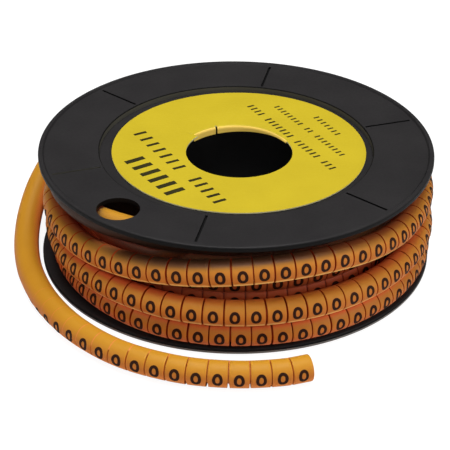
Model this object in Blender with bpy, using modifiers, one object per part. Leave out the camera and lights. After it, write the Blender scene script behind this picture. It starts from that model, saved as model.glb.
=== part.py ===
"""A reel of cable markers.

A black moulded spool carries a long strip of soft PVC marker sleeves, wound in rows and
layers like rope on a drum. The strip's free end leaves the winding under the top flange
and lies on the table round the front. A round paper label sits in the top flange's
recess, with its slit inner edge pushed down into the bore.

Metres, +Z up. The origin is the centre of the spool's underside. The front is -Y, and a
turn angle is counted from the front, anticlockwise seen from above.
"""

import math

import bmesh
import bpy
from mathutils import Matrix, Vector

# Spool
FLANGE_RADIUS = 0.0400
FLANGE_WALL = 0.0009
DRUM_WIDTH = 0.0213
LIP_WIDTH = 0.0012
LIP_HEIGHT = 0.0003
RECESS_RADIUS = 0.0277
RECESS_DEPTH = 0.0012
BORE_RADIUS = 0.0119
HUB_WALL = 0.0013
EDGE_ROUND = 0.00035
HUB_FILLET = 0.0008
CORNER_STEPS = 2
SPOOL_STEPS = 56

# Details moulded into the flanges
GROOVE_COUNT = 6
GROOVE_ANGLE = -11.0
GROOVE_DEPTH = 0.0003
GROOVE_MARGIN = 0.0006
GROOVE_SIDES = 4
HOLE_RADIUS = 0.0042
HOLE_PITCH_RADIUS = 0.0340
HOLE_ANGLE = -41.0
HOLE_STEPS = 32

# Marker sleeve and its strip
SLEEVE_RADIUS = 0.00255
SLEEVE_TURN = 5.7
SLEEVE_BACK = 0.0017
SLEEVE_FACETS = 5
CUT_WIDTH = 0.0003
CUT_DEPTH = 0.0003
TUBE_RESOLUTION = 2

# Winding
WINDING_CLEARANCE = 0.0003
TURN_CLEARANCE = 0.00003
CORE_STEPS = 44
LAYER_ARC = 62.0
LAYER_ARC_STEPS = 2
# Rows of the layer below the loose one, from the top: distance out from the rim of the
# flange's dish, and height
LAYER_ROWS = (
    (0.0030, 0.01965),
    (0.0039, 0.01330),
    (0.0030, 0.00870),
    (0.0030, 0.00405),
)

# The loose outer layer's centre line, three turns upwards from the bottom flange, where
# it comes out of the layer below: turn angle, radius, height and share of full size
OUTER_ROUTE = (
    (-175.0, 0.03030, 0.00405, 1.00),
    (-150.0, 0.03130, 0.00405, 1.00),
    (-120.0, 0.03340, 0.00400, 0.95),
    (-95.0, 0.03520, 0.00385, 0.88),
    (-75.0, 0.03595, 0.00375, 0.84),
    (-60.0, 0.03640, 0.00375, 0.85),
    (-45.0, 0.03700, 0.00390, 0.92),
    (-30.0, 0.03780, 0.00405, 0.99),
    (-15.0, 0.03845, 0.00405, 1.00),
    (0.0, 0.03860, 0.00405, 1.00),
    (20.0, 0.03850, 0.00405, 1.00),
    (40.0, 0.03820, 0.00405, 1.00),
    (60.0, 0.03810, 0.00405, 1.00),
    (80.0, 0.03800, 0.00405, 1.00),
    (105.0, 0.03760, 0.00405, 1.00),
    (130.0, 0.03770, 0.00405, 1.00),
    (150.0, 0.03860, 0.00425, 1.00),
    (165.0, 0.03920, 0.00460, 1.00),
    (180.0, 0.03935, 0.00510, 1.00),
    (195.0, 0.03900, 0.00560, 1.00),
    (215.0, 0.03780, 0.00630, 1.00),
    (240.0, 0.03670, 0.00720, 0.98),
    (285.0, 0.03690, 0.00815, 0.92),
    (300.0, 0.03750, 0.00815, 0.92),
    (315.0, 0.03800, 0.00862, 0.96),
    (330.0, 0.03875, 0.00908, 1.00),
    (345.0, 0.03935, 0.00912, 1.00),
    (360.0, 0.03950, 0.00912, 1.00),
    (380.0, 0.03925, 0.00912, 1.00),
    (400.0, 0.03890, 0.00912, 1.00),
    (420.0, 0.03870, 0.00912, 1.00),
    (440.0, 0.03840, 0.00912, 1.00),
    (465.0, 0.03790, 0.00915, 1.00),
    (490.0, 0.03745, 0.00935, 1.00),
    (525.0, 0.03710, 0.01005, 1.00),
    (560.0, 0.03690, 0.01105, 1.00),
    (600.0, 0.03680, 0.01235, 1.00),
    (645.0, 0.03700, 0.01330, 1.00),
    (660.0, 0.03740, 0.01345, 1.00),
    (670.0, 0.03760, 0.01385, 1.00),
    (680.0, 0.03785, 0.01450, 1.00),
    (690.0, 0.03815, 0.01530, 1.00),
    (700.0, 0.03845, 0.01630, 1.00),
    (710.0, 0.03875, 0.01725, 1.00),
    (720.0, 0.03890, 0.01800, 1.00),
    (730.0, 0.03885, 0.01840, 1.00),
    (740.0, 0.03875, 0.01845, 1.00),
    (750.0, 0.03860, 0.01810, 1.00),
    (760.0, 0.03845, 0.01735, 1.00),
    (770.0, 0.03835, 0.01675, 1.00),
    (780.0, 0.03825, 0.01635, 1.00),
    (795.0, 0.03815, 0.01615, 1.00),
    (820.0, 0.03790, 0.01630, 1.00),
    (845.0, 0.03750, 0.01700, 1.00),
    (865.0, 0.03720, 0.01780, 1.00),
    (884.0, 0.03710, 0.01820, 1.00),
)

# A turn of the layer below that stands out at the left, under the top flange
BULGE_STEP = 9.0
BULGE_ROUTE = (
    (-195.0, 0.03080, 0.01965, 1.00),
    (-150.0, 0.03240, 0.01965, 1.00),
    (-110.0, 0.03500, 0.01965, 1.00),
    (-75.0, 0.03600, 0.01965, 1.00),
    (-60.0, 0.03560, 0.01965, 1.00),
    (-48.0, 0.03480, 0.01965, 1.00),
    (-36.0, 0.03370, 0.01965, 1.00),
    (-20.0, 0.03220, 0.01965, 1.00),
    (0.0, 0.03100, 0.01965, 1.00),
    (12.0, 0.03060, 0.01965, 1.00),
)

# Free tail: turn angle, radius and height of its centre line
TAIL_GAP = 0.0003
TAIL_POINT_SPACING = 0.0040
ROUTE_SAMPLES = 24
TAIL_ROUTE = (
    (180.0, 0.03850, 0.01830),
    (195.0, 0.03970, 0.01810),
    (208.0, 0.04100, 0.01740),
    (220.0, 0.04210, 0.01590),
    (232.0, 0.04270, 0.01370),
    (244.0, 0.04295, 0.01100),
    (255.0, 0.04300, 0.00830),
    (265.0, 0.04305, 0.00580),
    (274.0, 0.04320, 0.00390),
    (283.0, 0.04345, 0.00285),
    (293.0, 0.04400, 0.00262),
    (306.0, 0.04520, 0.00262),
    (320.0, 0.04695, 0.00262),
    (334.0, 0.04870, 0.00262),
    (348.0, 0.04970, 0.00262),
    (360.0, 0.05010, 0.00262),
    (370.0, 0.05010, 0.00262),
    (376.4, 0.04970, 0.00262),
)

# Label
LABEL_MARGIN = 0.0019
LABEL_SHIFT_X = 0.00055
LABEL_SHIFT_Y = 0.0005
LABEL_WALL = 0.00025
LABEL_GAP = 0.00012
LABEL_OVERHANG = 0.0011
LABEL_HOLE_SHIFT_X = 0.00063
LABEL_HOLE_SHIFT_Y = -0.00066
FLAP_CLEARANCE = 0.0003
FLAP_BEND = 0.0006
FLAP_BEND_STEPS = 2
SLIT_WIDTH = 0.0005
FLAP_STEP_ANGLE = 9.0
# Paper round the bore: turn angles of both ends, and whether pushed down
FLAPS = (
    (-127.0, 112.0, False),
    (112.0, 202.0, True),
    (202.0, 233.0, True),
)

# Finish
BLACK = (0.035, 0.033, 0.036)
ORANGE = (0.72, 0.25, 0.03)
YELLOW = (0.62, 0.50, 0.03)
PLASTIC_ROUGHNESS = 0.42
SLEEVE_ROUGHNESS = 0.45
PAPER_ROUGHNESS = 0.55
SHARP_ANGLE = 35.0
TUBE_SHARP_ANGLE = 50.0
MERGE_DISTANCE = 0.000001
SCREW_MERGE_DISTANCE = 0.00001

# Worked out from the sizes above
RIM_THICKNESS = FLANGE_WALL + LIP_HEIGHT
SPOOL_HEIGHT = DRUM_WIDTH + 2 * RIM_THICKNESS
HUB_RADIUS = BORE_RADIUS + HUB_WALL
DISH_RADIUS = RECESS_RADIUS + FLANGE_WALL
LABEL_RADIUS = RECESS_RADIUS - LABEL_MARGIN
LABEL_HOLE_RADIUS = BORE_RADIUS - LABEL_OVERHANG
RECESS_FLOOR = SPOOL_HEIGHT - LIP_HEIGHT - RECESS_DEPTH
CORE_SIDE = RIM_THICKNESS + WINDING_CLEARANCE
STRAND_RADIUS = SLEEVE_RADIUS - TURN_CLEARANCE
FOLD_RADIUS = BORE_RADIUS - FLAP_CLEARANCE


def clear_scene():
    """Remove every object that the file opened with."""
    for item in list(bpy.data.objects):
        bpy.data.objects.remove(item, do_unlink=True)


def make_collection(name):
    """Return a new collection linked to the scene."""
    collection = bpy.data.collections.new(name)
    bpy.context.scene.collection.children.link(collection)
    return collection


def make_material(name, colour, roughness):
    """Return a plain Principled material."""
    material = bpy.data.materials.new(name)
    material.use_nodes = True
    shader = material.node_tree.nodes["Principled BSDF"]
    shader.inputs["Base Color"].default_value = (*colour, 1.0)
    shader.inputs["Roughness"].default_value = roughness
    shader.inputs["Metallic"].default_value = 0.0
    material.diffuse_color = (*colour, 1.0)
    return material


def add_object(name, mesh, collection, material=None):
    """Link a mesh into a collection as an object."""
    item = bpy.data.objects.new(name, mesh)
    collection.objects.link(item)
    if material is not None:
        mesh.materials.append(material)
    return item


def hide_guide(item):
    """Show a cutter or guide as wire only."""
    item.hide_render = True
    item.display_type = "WIRE"


def shade_round(mesh, angle=SHARP_ANGLE):
    """Shade a mesh smooth, with sharp edges kept."""
    mesh.shade_smooth()
    mesh.set_sharp_from_angle(angle=math.radians(angle))


def around(turn_angle, radius, height):
    """Return the point at a turn angle, radius and height."""
    angle = math.radians(turn_angle)
    return Vector((radius * math.sin(angle), -radius * math.cos(angle), height))


def follow(route, angle):
    """Read a route's radius, height and size at a turn angle, smoothly between its rows."""
    last = len(route) - 1
    index = 0
    while index < last - 1 and angle > route[index + 1][0]:
        index += 1
    start, end = route[index], route[index + 1]
    before, after = route[max(index - 1, 0)], route[min(index + 2, last)]
    span = end[0] - start[0]
    share = (angle - start[0]) / span
    values = []
    for column in range(1, len(start)):
        leave = (end[column] - before[column]) / (end[0] - before[0]) * span
        arrive = (after[column] - start[column]) / (after[0] - start[0]) * span
        rise = end[column] - start[column]
        values.append(
            start[column]
            + leave * share
            + (3 * rise - 2 * leave - arrive) * share**2
            + (leave + arrive - 2 * rise) * share**3
        )
    return values


def rounded_outline(corners, steps=CORNER_STEPS):
    """Round the corners of a closed outline given as (radius, height, fillet)."""
    points = []
    count = len(corners)
    for index, (radius, height, fillet) in enumerate(corners):
        here = Vector((radius, height))
        if fillet == 0.0:
            points.append(here)
            continue
        before = (Vector(corners[index - 1][:2]) - here).normalized()
        after = (Vector(corners[(index + 1) % count][:2]) - here).normalized()
        half = before.angle(after) / 2
        centre = here + (before + after).normalized() * fillet / math.sin(half)
        first = here + before * fillet / math.tan(half) - centre
        last = here + after * fillet / math.tan(half) - centre
        turned = first.angle_signed(last)
        for step in range(steps + 1):
            turn = Matrix.Rotation(-turned * step / steps, 2)
            points.append(centre + turn @ first)
    return points


def revolve(name, outline, steps, collection, material):
    """Turn a closed outline of (radius, height) points about the Z axis."""
    mesh = bpy.data.meshes.new(name)
    vertices = [(point[0], 0.0, point[1]) for point in outline]
    edges = [(index, (index + 1) % len(outline)) for index in range(len(outline))]
    mesh.from_pydata(vertices, edges, [])
    item = add_object(name, mesh, collection, material)
    screw = item.modifiers.new("turn", "SCREW")
    screw.axis = "Z"
    screw.angle = math.tau
    screw.steps = steps
    screw.render_steps = steps
    screw.use_merge_vertices = True
    screw.merge_threshold = SCREW_MERGE_DISTANCE
    screw.use_smooth_shade = True
    return item


def combine(item, other, operation):
    """Cut or join another object into this one."""
    modifier = item.modifiers.new(operation.lower(), "BOOLEAN")
    modifier.operation = operation
    modifier.solver = "EXACT"
    modifier.object = other
    return modifier


def sweep(name, points, scales, collection, section=None, material=None):
    """Sweep a round or given section along points and return it as a closed mesh."""
    curve = bpy.data.curves.new(name + "_line", "CURVE")
    curve.dimensions = "3D"
    curve.twist_mode = "Z_UP"
    curve.use_fill_caps = True
    if section is None:
        curve.bevel_depth = SLEEVE_RADIUS
        curve.bevel_resolution = TUBE_RESOLUTION
    else:
        curve.bevel_mode = "OBJECT"
        curve.bevel_object = section
    spline = curve.splines.new("POLY")
    spline.points.add(len(points) - 1)
    for node, point, scale in zip(spline.points, points, scales):
        node.co = (*point, 1.0)
        node.radius = scale
    line = bpy.data.objects.new(name + "_line", curve)
    collection.objects.link(line)
    bpy.context.view_layer.update()
    graph = bpy.context.evaluated_depsgraph_get()
    mesh = bpy.data.meshes.new_from_object(line.evaluated_get(graph))
    mesh.name = name
    shaped = bmesh.new()
    shaped.from_mesh(mesh)
    bmesh.ops.remove_doubles(shaped, verts=shaped.verts, dist=MERGE_DISTANCE)
    shaped.to_mesh(mesh)
    shaped.free()
    shade_round(mesh, TUBE_SHARP_ANGLE)
    item = add_object(name, mesh, collection, material)
    item.matrix_world = line.matrix_world
    bpy.data.objects.remove(line, do_unlink=True)
    return item


def spool_outline():
    """Half section of the spool, down its outer side and up through the bore."""
    top = SPOOL_HEIGHT
    lip_inner = FLANGE_RADIUS - LIP_WIDTH
    upper = [
        (BORE_RADIUS, RECESS_FLOOR, EDGE_ROUND),
        (RECESS_RADIUS, RECESS_FLOOR, 0.0),
        (RECESS_RADIUS, top - LIP_HEIGHT, 0.0),
        (lip_inner, top - LIP_HEIGHT, 0.0),
        (lip_inner + LIP_HEIGHT, top, 0.0),
        (FLANGE_RADIUS, top, EDGE_ROUND),
        (FLANGE_RADIUS, top - RIM_THICKNESS, EDGE_ROUND),
        (DISH_RADIUS, top - RIM_THICKNESS, 0.0),
        (DISH_RADIUS, RECESS_FLOOR - FLANGE_WALL, 0.0),
        (HUB_RADIUS, RECESS_FLOOR - FLANGE_WALL, HUB_FILLET),
    ]
    lower = [(radius, top - height, fillet) for radius, height, fillet in reversed(upper)]
    return rounded_outline(upper + lower)


def groove_cutter(collection):
    """V-shaped cutters for the fine radial lines on both outer faces."""
    inner = RECESS_RADIUS + GROOVE_MARGIN
    outer = FLANGE_RADIUS - LIP_WIDTH - GROOVE_MARGIN
    shaped = bmesh.new()
    for face in (LIP_HEIGHT, SPOOL_HEIGHT - LIP_HEIGHT):
        for index in range(GROOVE_COUNT):
            angle = GROOVE_ANGLE + index * 360.0 / GROOVE_COUNT
            place = (
                Matrix.Translation(around(angle, (inner + outer) / 2, face))
                @ Matrix.Rotation(math.radians(angle), 4, "Z")
                @ Matrix.Rotation(math.radians(90.0), 4, "X")
            )
            bmesh.ops.create_cone(
                shaped,
                cap_ends=True,
                segments=GROOVE_SIDES,
                radius1=GROOVE_DEPTH,
                radius2=GROOVE_DEPTH,
                depth=outer - inner,
                matrix=place,
            )
    mesh = bpy.data.meshes.new("groove_cutter")
    shaped.to_mesh(mesh)
    shaped.free()
    item = add_object("groove_cutter", mesh, collection)
    hide_guide(item)
    return item


def hole_cutter(collection):
    """Cutter for the round hole through the top flange."""
    shaped = bmesh.new()
    bmesh.ops.create_cone(
        shaped,
        cap_ends=True,
        segments=HOLE_STEPS,
        radius1=HOLE_RADIUS,
        radius2=HOLE_RADIUS,
        depth=4 * RIM_THICKNESS,
        matrix=Matrix.Translation(around(HOLE_ANGLE, HOLE_PITCH_RADIUS, SPOOL_HEIGHT)),
    )
    mesh = bpy.data.meshes.new("hole_cutter")
    shaped.to_mesh(mesh)
    shaped.free()
    item = add_object("hole_cutter", mesh, collection)
    hide_guide(item)
    return item


def build_spool(parts, cutters):
    """Two dished flanges on a hollow hub, moulded in one piece."""
    black = make_material("black_moulded_plastic", BLACK, PLASTIC_ROUGHNESS)
    spool = revolve("spool", spool_outline(), SPOOL_STEPS, parts, black)
    combine(spool, groove_cutter(cutters), "DIFFERENCE")
    combine(spool, hole_cutter(cutters), "DIFFERENCE")
    return spool


def core_outline():
    """Half section of the packed layers, with the second layer's turns outside."""
    side = CORE_SIDE
    inner = HUB_RADIUS + WINDING_CLEARANCE
    dish = DISH_RADIUS + WINDING_CLEARANCE
    dish_side = SPOOL_HEIGHT - RECESS_FLOOR + FLANGE_WALL + WINDING_CLEARANCE
    top = SPOOL_HEIGHT
    points = [
        (inner, top - dish_side - HUB_FILLET),
        (inner + HUB_FILLET, top - dish_side),
        (dish, top - dish_side),
        (dish, top - side),
    ]
    for reach, height in LAYER_ROWS:
        for step in range(2 * LAYER_ARC_STEPS + 1):
            angle = math.radians(LAYER_ARC * (1 - step / LAYER_ARC_STEPS))
            points.append(
                (
                    DISH_RADIUS + reach + SLEEVE_RADIUS * math.cos(angle),
                    height + SLEEVE_RADIUS * math.sin(angle),
                )
            )
    points += [
        (dish, side),
        (dish, dish_side),
        (inner + HUB_FILLET, dish_side),
        (inner, dish_side + HUB_FILLET),
    ]
    return points


def strand_stations(start, end):
    """Turn angles of the outer layer's cross sections, three at each cut."""
    half_cut = math.degrees(CUT_WIDTH / 2 / FLANGE_RADIUS)
    stations = [(start, False)]
    for index in range(1, math.ceil((end - start) / SLEEVE_TURN)):
        angle = start + index * SLEEVE_TURN
        stations.append((angle - half_cut, False))
        stations.append((angle, True))
        stations.append((angle + half_cut, False))
    stations.append((end, False))
    return stations


def sleeve_section(collection):
    """Section of a wound sleeve, round outside and drawn flat on its inner side."""
    section = bpy.data.curves.new("sleeve_section", "CURVE")
    section.dimensions = "2D"
    spline = section.splines.new("POLY")
    spline.use_cyclic_u = True
    spline.points.add(SLEEVE_FACETS + 1)
    for step in range(SLEEVE_FACETS + 1):
        angle = math.pi * (0.5 - step / SLEEVE_FACETS)
        across = STRAND_RADIUS * math.cos(angle)
        along = STRAND_RADIUS * math.sin(angle)
        spline.points[step].co = (across, along, 0.0, 1.0)
    spline.points[SLEEVE_FACETS + 1].co = (-SLEEVE_BACK, 0.0, 0.0, 1.0)
    item = bpy.data.objects.new("sleeve_section", section)
    collection.objects.link(item)
    hide_guide(item)
    return item


def build_outer_turns(section, collection):
    """The loose outer layer: one run of sleeves, pinched at the cut between each two."""
    points = []
    scales = []
    for angle, is_cut in strand_stations(OUTER_ROUTE[0][0], OUTER_ROUTE[-1][0]):
        radius, height, size = follow(OUTER_ROUTE, angle)
        points.append(around(angle, radius, height))
        scales.append(size - CUT_DEPTH / STRAND_RADIUS if is_cut else size)
    item = sweep("outer_turns", points, scales, collection, section)
    hide_guide(item)
    return item


def build_bulging_turn(section, collection):
    """The turn of the layer below that stands out at the left."""
    start = BULGE_ROUTE[0][0]
    end = BULGE_ROUTE[-1][0]
    count = round((end - start) / BULGE_STEP)
    points = []
    scales = []
    for step in range(count + 1):
        angle = start + (end - start) * step / count
        radius, height, size = follow(BULGE_ROUTE, angle)
        points.append(around(angle, radius, height))
        scales.append(size)
    item = sweep("bulging_turn", points, scales, collection, section)
    hide_guide(item)
    return item


def build_winding(parts, cutters):
    """All the wound turns of the strip, as one solid roll."""
    orange = make_material("orange_soft_pvc", ORANGE, SLEEVE_ROUGHNESS)
    winding = revolve("marker_winding", core_outline(), CORE_STEPS, parts, orange)
    section = sleeve_section(cutters)
    combine(winding, build_outer_turns(section, cutters), "UNION")
    combine(winding, build_bulging_turn(section, cutters), "UNION")
    return winding


def smooth_route(points, spacing):
    """Points at an even spacing along a Catmull-Rom curve through the route."""
    ends = [2 * points[0] - points[1]] + points + [2 * points[-1] - points[-2]]
    dense = []
    for index in range(len(points) - 1):
        before, start, end, after = ends[index : index + 4]
        for step in range(ROUTE_SAMPLES):
            share = step / ROUTE_SAMPLES
            bend = 2 * start + (end - before) * share
            bend += (2 * before - 5 * start + 4 * end - after) * share**2
            bend += (3 * start - before - 3 * end + after) * share**3
            dense.append(bend / 2)
    dense.append(points[-1])
    length = sum((b - a).length for a, b in zip(dense, dense[1:]))
    count = round(length / spacing)
    pitch = length / count
    even = [dense[0]]
    travelled = 0.0
    for a, b in zip(dense, dense[1:]):
        step = (b - a).length
        while len(even) < count and travelled + step >= len(even) * pitch:
            even.append(a.lerp(b, (len(even) * pitch - travelled) / step))
        travelled += step
    even.append(dense[-1])
    return even


def build_tail(parts):
    """The strip's free end, from where it leaves the winding to its cut end."""
    orange = make_material("orange_soft_pvc_tail", ORANGE, SLEEVE_ROUGHNESS)
    angle, radius, height, _ = OUTER_ROUTE[-1]
    route = [around(angle, radius, height)]
    route += [around(*point) for point in TAIL_ROUTE]
    line = smooth_route(route, TAIL_POINT_SPACING)
    line[0] += (line[1] - line[0]).normalized() * TAIL_GAP
    return sweep("marker_tail", line, [1.0] * len(line), parts, material=orange)


def label_angles():
    """Turn angles of the label's cross sections, and which cells are slits."""
    angles = []
    half_slit = math.degrees(SLIT_WIDTH / 2 / FOLD_RADIUS)
    for start, end, folded in FLAPS:
        count = round((end - start) / FLAP_STEP_ANGLE)
        first = start + half_slit
        last = end - half_slit
        for step in range(count + 1):
            angles.append((first + (last - first) * step / count, folded, step == count))
    return angles


def hole_reach(angle):
    """Distance from the spool's axis to the edge of the label's off-centre hole."""
    towards = around(angle, 1.0, 0.0)
    shift = Vector((LABEL_HOLE_SHIFT_X, LABEL_HOLE_SHIFT_Y, 0.0))
    along = shift.dot(towards)
    return along + math.sqrt(LABEL_HOLE_RADIUS**2 - shift.length_squared + along**2)


def label_section(angle, folded):
    """Points of the paper along one radius, from its outer edge to its inner edge."""
    paper = RECESS_FLOOR + LABEL_GAP
    shift = Vector((LABEL_SHIFT_X, LABEL_SHIFT_Y, 0.0))
    fold_start = FOLD_RADIUS + FLAP_BEND
    overhang = fold_start - hole_reach(angle)
    section = [
        around(angle, LABEL_RADIUS, paper) + shift,
        around(angle, (LABEL_RADIUS + fold_start) / 2, paper) + shift / 2,
        around(angle, fold_start, paper),
    ]
    if not folded:
        for step in range(1, FLAP_BEND_STEPS + 2):
            share = step / (FLAP_BEND_STEPS + 1)
            section.append(around(angle, fold_start - overhang * share, paper))
        return section
    for step in range(1, FLAP_BEND_STEPS + 1):
        bend = step / FLAP_BEND_STEPS * math.pi / 2
        radius = fold_start - FLAP_BEND * math.sin(bend)
        height = paper - FLAP_BEND * (1 - math.cos(bend))
        section.append(around(angle, radius, height))
    drop = overhang - FLAP_BEND * math.pi / 2
    section.append(around(angle, FOLD_RADIUS, paper - FLAP_BEND - drop))
    return section


def build_label(parts):
    """A paper ring, its inner edge slit and pushed down into the bore at the back."""
    yellow = make_material("yellow_paper", YELLOW, PAPER_ROUGHNESS)
    shaped = bmesh.new()
    angles = label_angles()
    rows = []
    for angle, folded, _ in angles:
        rows.append([shaped.verts.new(point) for point in label_section(angle, folded)])
    flat_cells = 2
    for index, (_, _, is_slit) in enumerate(angles):
        here = rows[index]
        there = rows[(index + 1) % len(rows)]
        cells = flat_cells if is_slit else len(here) - 1
        for cell in range(cells):
            shaped.faces.new((here[cell], there[cell], there[cell + 1], here[cell + 1]))
    mesh = bpy.data.meshes.new("label")
    shaped.to_mesh(mesh)
    shaped.free()
    shade_round(mesh)
    label = add_object("label", mesh, parts, yellow)
    solid = label.modifiers.new("paper", "SOLIDIFY")
    solid.thickness = LABEL_WALL
    solid.offset = 1.0
    return label


def main():
    """Build the reel."""
    clear_scene()
    parts = make_collection("cable_marker_reel")
    cutters = make_collection("cutters")
    build_spool(parts, cutters)
    build_winding(parts, cutters)
    build_tail(parts)
    build_label(parts)


main()
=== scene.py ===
"""Look of the cable marker reel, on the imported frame.

Metres, +Z up, in the frame of the CAD: the origin is the centre of the spool's underside,
the front is -Y, and a turn angle is counted from the front, anticlockwise from above.
"""

import math
import random

import bmesh
import bpy
import numpy as np
from mathutils import Matrix, Vector


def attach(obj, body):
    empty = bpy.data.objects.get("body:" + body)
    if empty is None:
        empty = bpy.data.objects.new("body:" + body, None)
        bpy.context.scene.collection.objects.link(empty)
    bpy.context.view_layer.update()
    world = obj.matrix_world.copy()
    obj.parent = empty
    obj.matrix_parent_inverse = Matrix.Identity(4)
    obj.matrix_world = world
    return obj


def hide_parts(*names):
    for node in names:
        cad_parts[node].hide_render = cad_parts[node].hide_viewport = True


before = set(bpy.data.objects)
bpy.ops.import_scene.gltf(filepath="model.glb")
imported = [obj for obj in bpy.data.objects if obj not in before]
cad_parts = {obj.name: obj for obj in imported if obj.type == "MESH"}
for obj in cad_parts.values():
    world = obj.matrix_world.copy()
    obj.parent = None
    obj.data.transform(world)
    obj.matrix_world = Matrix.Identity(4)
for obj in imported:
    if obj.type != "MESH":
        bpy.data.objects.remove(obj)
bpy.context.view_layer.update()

# Camera
LENS = 139.96
SENSOR = 36.0
CAMERA_DISTANCE = 0.366374
CAMERA_ELEVATION = math.radians(31.240)
CAMERA_YAW = math.radians(-0.393)
CAMERA_PITCH = math.radians(0.662)
CAMERA_ROLL = math.radians(0.392)
CAMERA_NEAR = 0.01

# Marker strip
SLEEVE_RADIUS = 0.00255
STRAND_RADIUS = 0.00252
SLEEVE_PITCH = 0.00382
SIDES = 28
STATION_SPACING = 0.0014
# Kinds of cross section: a plain one, the edge and the bottom of a cut, and the strand's end
PLAIN, EDGE, BOTTOM, END = range(4)
# Seeds for what varies from sleeve to sleeve
TAIL_SEED = 7
OUTER_SEED = 11
LAYER_SEED = 5

# Route of the loose outer layer: turn angle, radius, height, share of full size
OUTER_ROUTE = (
    (-175, 0.0303, 0.00405, 1), (-150, 0.0313, 0.00405, 1), (-120, 0.0334, 0.004, 0.95),
    (-95, 0.0352, 0.00385, 0.88), (-75, 0.03595, 0.00375, 0.84), (-60, 0.0364, 0.00375, 0.85),
    (-45, 0.037, 0.0039, 0.92), (-30, 0.0378, 0.00405, 0.99), (-15, 0.03845, 0.00405, 1),
    (0, 0.0386, 0.00405, 1), (20, 0.0385, 0.00405, 1), (40, 0.0382, 0.00405, 1),
    (60, 0.0379, 0.00405, 1), (80, 0.0376, 0.00405, 1), (105, 0.03725, 0.00405, 1),
    (130, 0.0377, 0.00405, 1), (150, 0.0386, 0.00425, 1), (165, 0.0392, 0.0046, 1),
    (180, 0.03935, 0.0051, 1), (195, 0.039, 0.0056, 1), (215, 0.0378, 0.0063, 1),
    (240, 0.0367, 0.0072, 0.98), (285, 0.0369, 0.00815, 0.92), (300, 0.0375, 0.00815, 0.92),
    (315, 0.038, 0.00862, 0.96), (330, 0.03875, 0.00908, 1), (345, 0.03935, 0.00912, 1),
    (360, 0.0395, 0.00912, 1), (380, 0.03925, 0.00912, 1), (400, 0.0389, 0.00912, 1),
    (420, 0.0385, 0.00912, 1), (440, 0.038, 0.00912, 1), (465, 0.0375, 0.00915, 1),
    (490, 0.03745, 0.00935, 1), (525, 0.0371, 0.01005, 1), (560, 0.0369, 0.01105, 1),
    (600, 0.0368, 0.01235, 1), (645, 0.037, 0.0133, 1), (660, 0.0374, 0.01345, 1),
    (670, 0.0376, 0.01385, 1), (680, 0.03785, 0.0145, 1), (690, 0.03815, 0.0152, 1.01),
    (700, 0.03845, 0.01612, 1.02), (710, 0.03875, 0.01702, 1.03), (720, 0.0389, 0.01776, 1.03),
    (730, 0.03885, 0.01816, 1.03), (740, 0.03875, 0.01823, 1.03), (750, 0.0386, 0.01792, 1.02),
    (760, 0.03845, 0.01725, 1.01), (770, 0.03835, 0.01675, 1), (780, 0.0381, 0.01635, 1),
    (795, 0.0378, 0.01615, 1), (820, 0.0375, 0.0163, 1), (845, 0.03715, 0.017, 1),
    (865, 0.0372, 0.0178, 1), (884, 0.0371, 0.0182, 1),
)
# Turn angles between which the cuts don't reach the top, and where they end there
LOW_CUT_TURNS = (645.0, 688.0)
LOW_CUT_TOP = 45.0
# Middles of the outer layer's sleeves: sleeve number, turn angle
OUTER_MARKS = (
    (-20, -174), (0, -56.5), (3, -38), (7, -15.2), (10, 1.8), (14, 24), (18, 46.9), (21, 64.1),
    (60, 289.3), (64, 314.4), (68, 337.9), (72, 360.1), (76, 381.9), (80, 404.3), (84, 425.4),
    (123, 651.3), (127, 675.8), (131, 699.2), (135, 722.1), (139, 744.1), (143, 767.4),
    (147, 789.5), (164, 884),
)
# Which way the print faces, in degrees upwards from straight out: turn angle, degrees
OUTER_ROLL = (
    (-175, -32), (-68, -32), (-59, 20), (-30, 2), (0, -2), (64, -2), (200, 10), (215, -32),
    (278, -32), (288, 24), (315, 15), (340, 7), (425, 10), (560, 12), (575, -32), (641, -32),
    (650, 14), (690, 6), (720, 6), (745, 8), (760, 10), (790, 16), (884, 20),
)
# The turn of the layer below that stands out at the left
BULGE_ROUTE = (
    (-195, 0.0308, 0.01965, 1), (-150, 0.0324, 0.01965, 1), (-110, 0.035, 0.01965, 1),
    (-75, 0.036, 0.01965, 1), (-60, 0.0356, 0.01965, 1), (-48, 0.0348, 0.01965, 1),
    (-36, 0.03335, 0.01965, 1), (-20, 0.0322, 0.01965, 1), (0, 0.031, 0.01965, 1),
    (12, 0.0306, 0.01965, 1),
)
# Rows of the layer below, from the top: radius and height
LAYER_ROWS = ((0.0316, 0.01965), (0.0327, 0.01235), (0.0316, 0.00820), (0.0316, 0.00405))
LAYER_ROLL = (8.0, -2.0, -10.0, 3.0)
# Sleeves of a row before the front, the turn that it makes, its steps and its size
LAYER_HALF = 27
LAYER_SPAN = 358.5
LAYER_STEP = 2.0
LAYER_SIZE = 0.995
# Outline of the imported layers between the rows, and how far it stays behind them
CORE_ARC = (62.0, 40.0, 20.0, 0.0, -20.0, -40.0, -62.0)
CORE_DIP = 0.0002
CORE_STEPS = 144
# Turn angles between which the top row's cuts are closed, under the flange's hole, and the
# hollow between the turns there: its middle, half its length, how deep, and where it starts
PLAIN_TURNS = (-90.0, 0.0)
HOLLOW_ANGLE = -41.0
HOLLOW_HALF = 26.0
HOLLOW_SHARE = 0.62
HOLLOW_BOTTOM = 0.0160

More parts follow.
